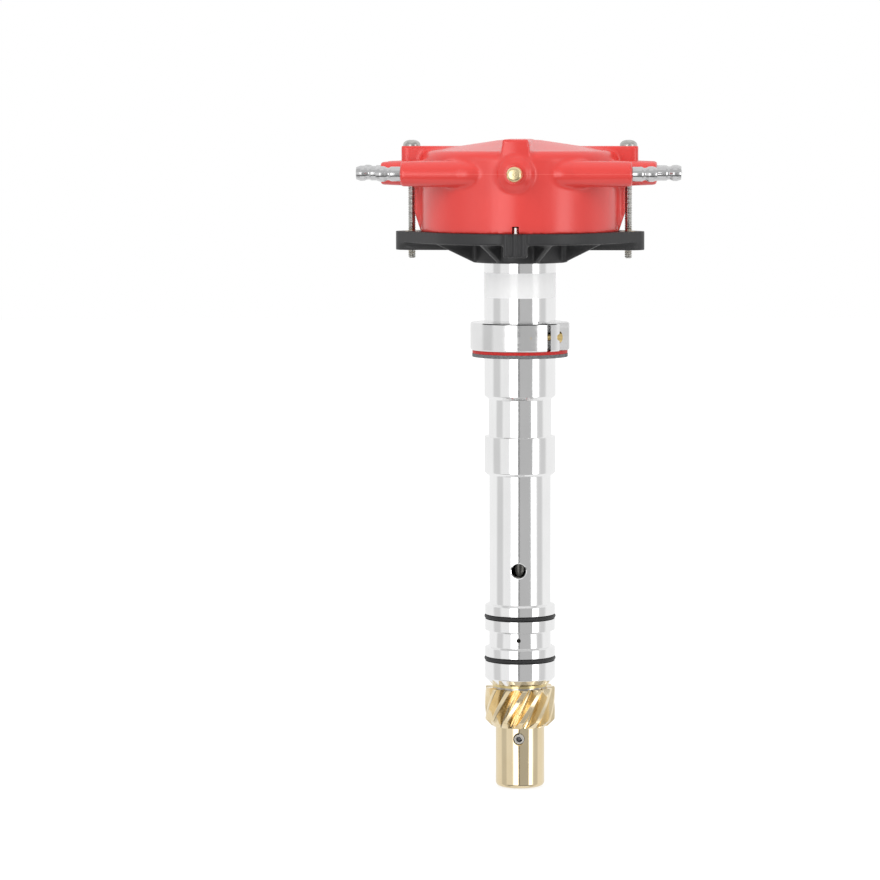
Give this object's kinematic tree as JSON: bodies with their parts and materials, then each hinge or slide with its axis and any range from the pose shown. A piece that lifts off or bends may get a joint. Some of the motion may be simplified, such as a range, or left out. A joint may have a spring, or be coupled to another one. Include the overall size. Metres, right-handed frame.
{
  "type": "ignition distributor",
  "caption": "Engine ignition distributor: low cap with sideways plug terminals on a flanged base, turned housing with a slip collar, and a helical gear at the shaft's lower end.",
  "frame": {"origin": "on the shaft's axis, in the plane of the gasket's underside where it meets the manifold", "axes": "+Z along the shaft up to the cap, -Y towards the coil terminal, X along the plug terminals"},
  "size_m": [0.1486, 0.107, 0.3001],
  "materials": {
    "polished_aluminium": "polished",
    "zinc_steel": "zinc plated",
    "bearing_bronze": "turned",
    "black_rubber": "smooth",
    "bearing_steel": "ground",
    "dark_spring_steel": "oiled",
    "black_plastic": "moulded",
    "brass": "turned",
    "ground_steel": "ground",
    "rotor_plastic": "moulded",
    "gear_bronze": "machined",
    "red_plastic": "moulded",
    "zinc_terminal": "plated",
    "carbon": "pressed",
    "grey_fibre": "gasket sheet",
    "red_rubber": "gasket sheet"
  },
  "bodies": {
    "housing": {"housing": "polished_aluminium", "head_screws": "zinc_steel", "lower_bushing": "bearing_bronze", "upper_o_ring": "black_rubber", "lower_o_ring": "black_rubber", "bearing_outer_race": "bearing_steel", "bearing_retaining_ring": "dark_spring_steel", "cap_base": "black_plastic", "ear_inserts": "brass", "locating_pin": "zinc_steel"},
    "shaft": {"shaft": "ground_steel", "bearing_inner_race": "bearing_steel", "shaft_snap_ring": "dark_spring_steel", "rotor_carrier": "polished_aluminium", "rotor": "rotor_plastic", "rotor_screws": "zinc_steel", "rotor_tip": "brass", "rotor_contact": "brass", "drive_gear": "gear_bronze", "roll_pin": "dark_spring_steel", "thrust_washer": "ground_steel"},
    "balls": {"bearing_balls": "bearing_steel", "bearing_cage": "brass"},
    "cap": {"cap": "red_plastic", "cap_arms": "red_plastic", "cap_ears": "red_plastic", "coil_terminal": "brass", "cap_screw_left": "zinc_steel", "cap_screw_right": "zinc_steel", "plug_terminal_1": "zinc_terminal", "plug_terminal_2": "zinc_terminal", "plug_terminal_3": "zinc_terminal", "plug_terminal_4": "zinc_terminal", "plug_terminal_5": "zinc_terminal", "plug_terminal_6": "zinc_terminal", "plug_terminal_7": "zinc_terminal", "plug_terminal_8": "zinc_terminal"},
    "brush": {"carbon_brush": "carbon", "brush_spring": "dark_spring_steel"},
    "collar": {"slip_collar": "polished_aluminium", "collar_clamp_screw": "brass", "grey_gasket": "grey_fibre", "red_gasket": "red_rubber"}
  },
  "joints": [
    {"name": "shaft_spin", "type": "hinge", "parent": "housing", "child": "shaft", "pos_m": [0, 0, 0], "axis": [0, 0, 1], "continuous": true},
    {"name": "ball_spin", "type": "hinge", "parent": "housing", "child": "balls", "pos_m": [0, 0, 0], "axis": [0, 0, 1], "continuous": true},
    {"name": "cap_lift", "type": "slide", "parent": "housing", "child": "cap", "axis": [0, 0, 1], "range_m": [0, 0.045]},
    {"name": "brush_travel", "type": "slide", "parent": "cap", "child": "brush", "axis": [0, 0, 1], "range_m": [0, 0.0015], "stiffness_N_per_m": 200, "springref_m": -0.003, "deforming": ["brush_spring"]},
    {"name": "collar_slide", "type": "slide", "parent": "housing", "child": "collar", "axis": [0, 0, 1], "range_m": [-0.015, 0.025]}
  ],
  "couplings": [
    {"joint": "ball_spin", "follows": "shaft_spin", "ratio": 0.385}
  ]
}
